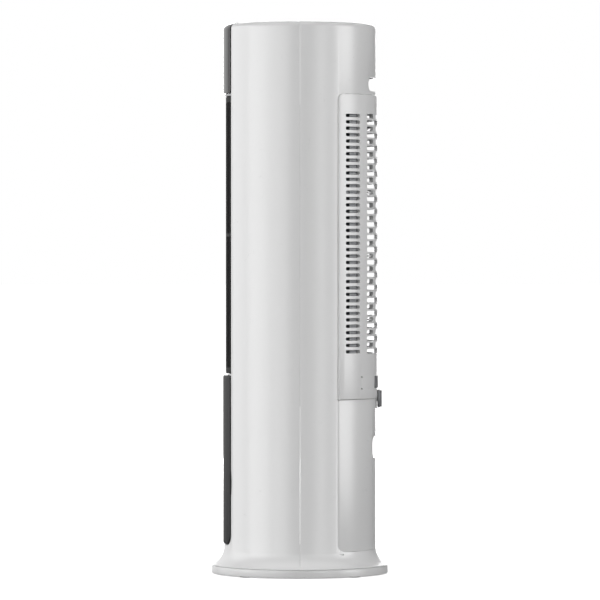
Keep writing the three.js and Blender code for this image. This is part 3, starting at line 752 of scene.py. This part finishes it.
# ---------------------------------------------------------------------------
# Inner parts. They keep the frame's own shapes: duct, fan, heating columns,
# filter, motors and boards, each in its own finish.
# ---------------------------------------------------------------------------

grey_abs_inner = moulded_plastic("grey_abs_inner", "#8E9092", "#858789", 0.5, 0.0009, 0.00004)
dark_abs_inner = moulded_plastic("dark_abs_inner", "#2C2D2F", "#343537", 0.5, 0.0009, 0.00004)
acetal = moulded_plastic("acetal_natural", "#DCD8CC", "#D4CFC0", 0.35, 0.0012, 0.00002)
pbt_heatproof = moulded_plastic("pbt_heatproof", "#CFC9B8", "#C4BDAA", 0.55, 0.0009, 0.00004)
rubber = moulded_plastic("nitrile_rubber", "#161616", "#202020", 0.78, 0.0011, 0.00006, scuffs=0.05)
solder_mask = moulded_plastic("solder_mask_green", "#1F5B3A", "#1A4D32", 0.35, 0.0030, 0.00003)
relay_blue = moulded_plastic("relay_case_blue", "#1D3F73", "#1A3867", 0.35, 0.0010, 0.00002)
film_yellow = moulded_plastic("film_capacitor_yellow", "#C49A35", "#B88F2E", 0.4, 0.0010, 0.00002)
motor_steel = plated_metal("pressed_motor_steel", "#8F9295", "#808386", 0.42, 0.0008)
fin_aluminium = plated_metal("bare_aluminium_fins", "#C3C5C8", "#B2B5B9", 0.36, 0.0005, (1.0, 1.0, 8.0))
sintered_bronze = plated_metal("sintered_bronze", "#9A7344", "#8A6538", 0.5, 0.0007)

# Woven nylon net, drawn at twice its real thread spacing so that the weave still shows.
nylon_net = bpy.data.materials.new("nylon_net_woven")
nylon_net.use_nodes = True
nylon_net.node_tree.nodes.clear()
net_place = add_node(nylon_net, "ShaderNodeTexCoord").outputs["Object"]
threads_across = add_node(nylon_net, "ShaderNodeTexWave", {
    "Vector": net_place, "Scale": 130.0, "Distortion": 0.3,
}, wave_type="BANDS", bands_direction="X")
threads_up = add_node(nylon_net, "ShaderNodeTexWave", {
    "Vector": net_place, "Scale": 130.0, "Distortion": 0.3,
}, wave_type="BANDS", bands_direction="Z")
weave = add_node(nylon_net, "ShaderNodeMath", {
    0: threads_across.outputs["Fac"], 1: threads_up.outputs["Fac"],
}, operation="MAXIMUM")
net_tone = add_node(nylon_net, "ShaderNodeMix", {
    "Factor": weave.outputs[0], 6: srgb("#4C4E50"), 7: srgb("#A4A6A9"),
}, data_type="RGBA")
net_relief = add_node(nylon_net, "ShaderNodeBump", {
    "Height": weave.outputs[0], "Strength": 0.8, "Distance": 0.0003,
})
net_shader = add_node(nylon_net, "ShaderNodeBsdfPrincipled", {
    "Base Color": net_tone.outputs[2], "Roughness": 0.6, "Normal": net_relief.outputs["Normal"],
})
add_node(nylon_net, "ShaderNodeOutputMaterial", {"Surface": net_shader.outputs[0]})

# Strips of the same net back the side slots, all but their outer ends.
side_net_radius = 0.0802
side_net_strips = 8
for number, side in enumerate((-1, 1)):
    near, far = sorted((side * radians(33.0) * side_net_radius, side * radians(48.6) * side_net_radius))
    side_net = block(f"filter_side_net_{number + 1}", (near, -0.0004, 0.232), (far, 0, 0.508))
    select_only(side_net)
    bpy.ops.object.mode_set(mode="EDIT")
    for i in range(1, side_net_strips):
        bpy.ops.mesh.select_all(action="SELECT")
        bpy.ops.mesh.bisect(plane_co=(near + (far - near) * i / side_net_strips, 0, 0), plane_no=(1, 0, 0))
    bpy.ops.object.mode_set(mode="OBJECT")
    for vertex in side_net.data.vertices:
        across, out = vertex.co.x / side_net_radius, side_net_radius - vertex.co.y
        vertex.co = (out * sin(across), out * cos(across), vertex.co.z)
    bpy.ops.object.mode_set(mode="EDIT")
    bpy.ops.mesh.select_all(action="SELECT")
    bpy.ops.mesh.normals_make_consistent(inside=False)
    bpy.ops.object.mode_set(mode="OBJECT")
    finish_piece(side_net, nylon_net, "filter_cover", [])

inner_finishes = {
    "base_weight": zinc_steel, "base_cover": dark_abs_inner, "slip_ring": acetal, "sun_gear": acetal,
    "gear_cap": zinc_steel, "tower_floor": dark_abs_inner, "display_board": solder_mask,
    "intake_frame": grey_abs_inner, "air_duct": grey_abs_inner, "fan_wheel": dark_abs_inner,
    "fan_shaft": zinc_steel, "fan_stub": zinc_steel, "fan_motor": motor_steel, "top_bearing": sintered_bronze,
    "heater_frame": pbt_heatproof, "ceramic_core_1": fin_aluminium, "ceramic_core_2": fin_aluminium,
    "thermal_cutout": motor_steel, "power_board": solder_mask, "power_relay_1": relay_blue,
    "power_relay_2": relay_blue, "mains_filter": film_yellow, "tip_switch": dark_abs_inner,
    "swing_motor": motor_steel, "drive_pinion": acetal, "filter_frame": dark_abs_inner,
    "filter_mesh": nylon_net,
}
for number in range(4):
    inner_finishes[f"foot_{number + 1}"] = rubber
for number in range(3):
    inner_finishes[f"cap_screw_{number + 1}"] = zinc_steel
for node_name, material in inner_finishes.items():
    for material_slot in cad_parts[node_name].material_slots:
        material_slot.material = material

# ---------------------------------------------------------------------------
# Studio. A pale, softly glowing floor under a wide sky light, tall soft lights
# round the outlet side, two at the cover and two on the far side.
# ---------------------------------------------------------------------------

bpy.ops.object.select_all(action="DESELECT")
bpy.ops.mesh.primitive_plane_add(size=80, location=(0, 0, 0))
floor = bpy.context.object
floor.name = "studio_floor"
floor.visible_diffuse = False
floor.visible_glossy = False
paper = bpy.data.materials.new("studio_paper_white")
paper.use_nodes = True
paper.node_tree.nodes.clear()
sheet_place = add_node(paper, "ShaderNodeTexCoord").outputs["Object"]
fibre = add_node(paper, "ShaderNodeTexNoise", {"Vector": sheet_place, "Scale": 30.0, "Detail": 4.0})
sheet_tone = add_node(paper, "ShaderNodeMix", {
    "Factor": fibre.outputs["Fac"], 6: srgb("#FDFDFD"), 7: srgb("#FBFBFB"),
}, data_type="RGBA")
sheet_shader = add_node(paper, "ShaderNodeBsdfPrincipled", {
    "Base Color": sheet_tone.outputs[2], "Roughness": 0.95,
    "Emission Color": (1.0, 1.0, 1.0, 1.0), "Emission Strength": 0.8,
})
add_node(paper, "ShaderNodeOutputMaterial", {"Surface": sheet_shader.outputs[0]})
floor.data.materials.append(paper)


def tall_light(name, bearing, power, width):
    """A tall soft light that faces the tower; its bearing is counted from +X towards +Y."""
    distance = 2.6
    data = bpy.data.lights.new(name, "AREA")
    data.shape = "RECTANGLE"
    data.size = width
    data.size_y = 2.0
    data.energy = power
    light = bpy.data.objects.new(name, data)
    bpy.context.scene.collection.objects.link(light)
    light.location = (distance * cos(radians(bearing)), distance * sin(radians(bearing)), 0.7)
    light.rotation_euler = (Vector((0, 0, 0.3)) - light.location).to_track_quat("-Z", "Y").to_euler()


tall_light("light_outlet", -108, 21, 1.8)
tall_light("light_outlet_side", -65, 40, 1.9)
tall_light("light_side", -30, 17, 1.2)
tall_light("light_near_cover", 33, 11, 0.9)
tall_light("light_cover", 71, 38, 1.4)
tall_light("light_far", 177, 42, 1.2)
tall_light("light_far_outlet", 202, 12, 2.4)

sky_data = bpy.data.lights.new("light_sky", "SUN")
sky_data.energy = 0.8
sky_data.angle = radians(70)
bpy.context.scene.collection.objects.link(bpy.data.objects.new("light_sky", sky_data))

# The air is white to look at and dim as a light.
world = bpy.data.worlds.new("studio_air")
world.use_nodes = True
air = world.node_tree.nodes["Background"]
air.inputs["Color"].default_value = (1.0, 1.0, 1.0, 1.0)
ray = world.node_tree.nodes.new("ShaderNodeLightPath")
air_strength = world.node_tree.nodes.new("ShaderNodeMapRange")
air_strength.inputs["To Min"].default_value = 0.08
air_strength.inputs["To Max"].default_value = 1.0
world.node_tree.links.new(ray.outputs["Is Camera Ray"], air_strength.inputs["Value"])
world.node_tree.links.new(air_strength.outputs["Result"], air.inputs["Strength"])
bpy.context.scene.world = world
bpy.context.scene.view_settings.view_transform = "Standard"

camera_data = bpy.data.cameras.new("camera")
camera_data.lens = 270
camera_data.sensor_width = 36
camera_data.clip_end = 60
camera = bpy.data.objects.new("camera", camera_data)
bpy.context.scene.collection.objects.link(camera)
camera.location = (4.92, 0, 0.354)
camera.rotation_euler = (Vector((0, 0, 0.299)) - camera.location).to_track_quat("-Z", "Y").to_euler()
bpy.context.scene.camera = camera
